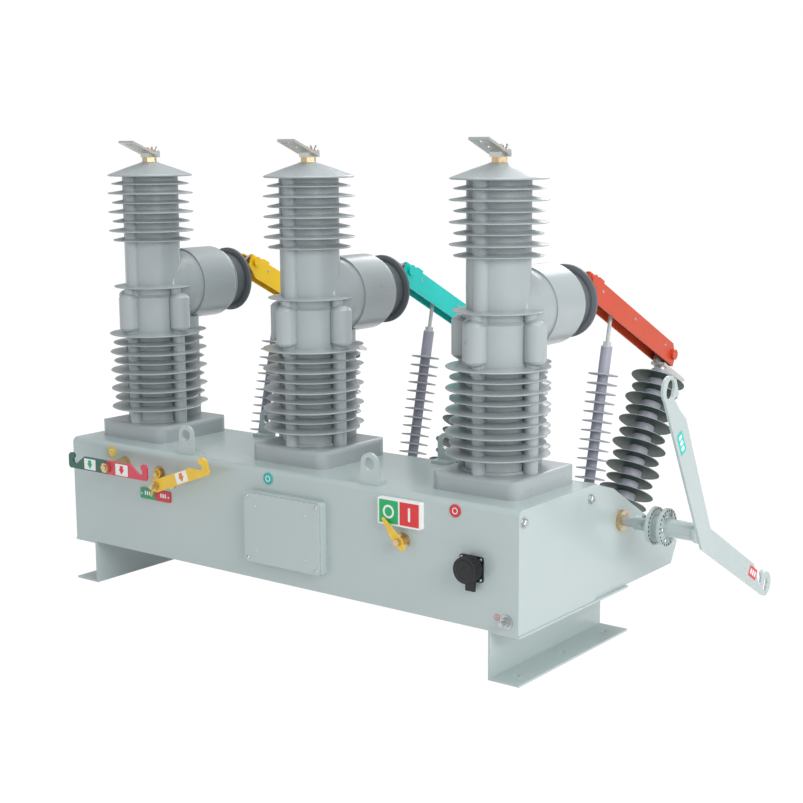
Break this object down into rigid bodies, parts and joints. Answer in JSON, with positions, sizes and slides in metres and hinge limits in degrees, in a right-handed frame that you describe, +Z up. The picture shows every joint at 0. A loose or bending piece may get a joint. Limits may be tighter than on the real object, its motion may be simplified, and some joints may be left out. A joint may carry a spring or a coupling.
{
  "type": "vacuum circuit breaker",
  "caption": "Outdoor vacuum circuit breaker: sheet-metal housing on channel feet, ribbed insulated poles with rear outlets, and a rear isolating switch with blades, rods, posts and a lever.",
  "frame": {"origin": "centre of the foot bolt pattern on the plane under the feet", "axes": "+X along the row of poles towards the lever, +Y to the rear where the isolating switch is, +Z up"},
  "size_m": [1.67, 1.155, 1.1924],
  "materials": {
    "housing_paint": "gloss powder coat",
    "pole_epoxy": "cast resin, semi-gloss",
    "seal_rubber": "satin",
    "tinned_metal": "tinned",
    "brass": "satin",
    "copper": "copper bar, satin",
    "post_silicone": "matte silicone",
    "rod_silicone": "matte silicone",
    "zinc_steel": "zinc plated",
    "black_plastic": "fine grain",
    "green_and_red_plate": "printed plate",
    "phase_marks": "coloured discs",
    "yellow_cover": "moulded cover",
    "teal_cover": "moulded cover",
    "orange_cover": "moulded cover",
    "green_handle": "gloss paint, other half red",
    "yellow_handle": "gloss paint"
  },
  "bodies": {
    "base": {"housing": "housing_paint", "end_covers": "housing_paint", "foot_left": "housing_paint", "foot_right": "housing_paint", "nameplate_cover": "housing_paint", "lifting_lugs": "housing_paint", "side_plates": "housing_paint", "post_beam": "housing_paint", "shaft_bushes": "brass", "pole_a": "pole_epoxy", "pole_b": "pole_epoxy", "pole_c": "pole_epoxy", "outlet_seals": "seal_rubber", "hinge_brackets": "tinned_metal", "terminal_studs": "brass", "top_terminals": "tinned_metal", "post_a": "post_silicone", "post_b": "post_silicone", "post_c": "post_silicone", "lower_terminals": "tinned_metal", "spindle_bosses": "brass", "charge_plate": "green_and_red_plate", "position_plate": "green_and_red_plate", "socket": "black_plastic", "socket_cap": "black_plastic", "earth_bolt": "zinc_steel", "phase_discs": "phase_marks"},
    "drive_train": {"drive_shaft": "zinc_steel", "coupling": "zinc_steel", "operating_lever": "housing_paint"},
    "trip_lever": {"trip_handle": "green_handle"},
    "charge_lever": {"charge_handle": "yellow_handle"},
    "needle": {"charge_needle": "yellow_handle"},
    "pointer": {"position_pointer": "yellow_handle"},
    "blade_a": {"blade_cover_a": "yellow_cover", "blade_bars_a": "copper"},
    "rod_a": {"pull_rod_a": "rod_silicone"},
    "blade_b": {"blade_cover_b": "teal_cover", "blade_bars_b": "copper"},
    "rod_b": {"pull_rod_b": "rod_silicone"},
    "blade_c": {"blade_cover_c": "orange_cover", "blade_bars_c": "copper"},
    "rod_c": {"pull_rod_c": "rod_silicone"}
  },
  "joints": [
    {"name": "disconnector_shaft", "type": "hinge", "parent": "base", "child": "drive_train", "pos_m": [0, 0.215, 0.284], "axis": [1, 0, 0], "range_deg": [0, 75]},
    {"name": "blade_a_hinge", "type": "hinge", "parent": "base", "child": "blade_a", "pos_m": [-0.568, 0.312, 0.848], "axis": [1, 0, 0], "range_deg": [0, 57]},
    {"name": "rod_a_pivot", "type": "hinge", "parent": "blade_a", "child": "rod_a", "pos_m": [-0.568, 0.44788, 0.76637], "axis": [1, 0, 0], "range_deg": [-59, 0]},
    {"name": "blade_b_hinge", "type": "hinge", "parent": "base", "child": "blade_b", "pos_m": [-0.008, 0.312, 0.848], "axis": [1, 0, 0], "range_deg": [0, 57]},
    {"name": "rod_b_pivot", "type": "hinge", "parent": "blade_b", "child": "rod_b", "pos_m": [-0.008, 0.44788, 0.76637], "axis": [1, 0, 0], "range_deg": [-59, 0]},
    {"name": "blade_c_hinge", "type": "hinge", "parent": "base", "child": "blade_c", "pos_m": [0.552, 0.312, 0.848], "axis": [1, 0, 0], "range_deg": [0, 57]},
    {"name": "rod_c_pivot", "type": "hinge", "parent": "blade_c", "child": "rod_c", "pos_m": [0.552, 0.44788, 0.76637], "axis": [1, 0, 0], "range_deg": [-59, 0]},
    {"name": "trip_pivot", "type": "hinge", "parent": "base", "child": "trip_lever", "pos_m": [-0.513, -0.309, 0.35], "axis": [0, 1, 0], "range_deg": [-30, 30]},
    {"name": "charge_pivot", "type": "hinge", "parent": "base", "child": "charge_lever", "pos_m": [-0.345, -0.295, 0.32], "axis": [0, 1, 0], "range_deg": [0, 75]},
    {"name": "needle_pivot", "type": "hinge", "parent": "base", "child": "needle", "pos_m": [-0.384, -0.257, 0.34], "axis": [0, 1, 0], "range_deg": [-40, 0]},
    {"name": "pointer_pivot", "type": "hinge", "parent": "base", "child": "pointer", "pos_m": [0.41, -0.2665, 0.284], "axis": [0, 1, 0], "range_deg": [0, 83]}
  ],
  "couplings": [
    {"joint": "blade_a_hinge", "follows": "disconnector_shaft", "ratio": 0.7535},
    {"joint": "rod_a_pivot", "follows": "disconnector_shaft", "ratio": -0.7827},
    {"joint": "blade_b_hinge", "follows": "disconnector_shaft", "ratio": 0.7535},
    {"joint": "rod_b_pivot", "follows": "disconnector_shaft", "ratio": -0.7827},
    {"joint": "blade_c_hinge", "follows": "disconnector_shaft", "ratio": 0.7535},
    {"joint": "rod_c_pivot", "follows": "disconnector_shaft", "ratio": -0.7827}
  ]
}
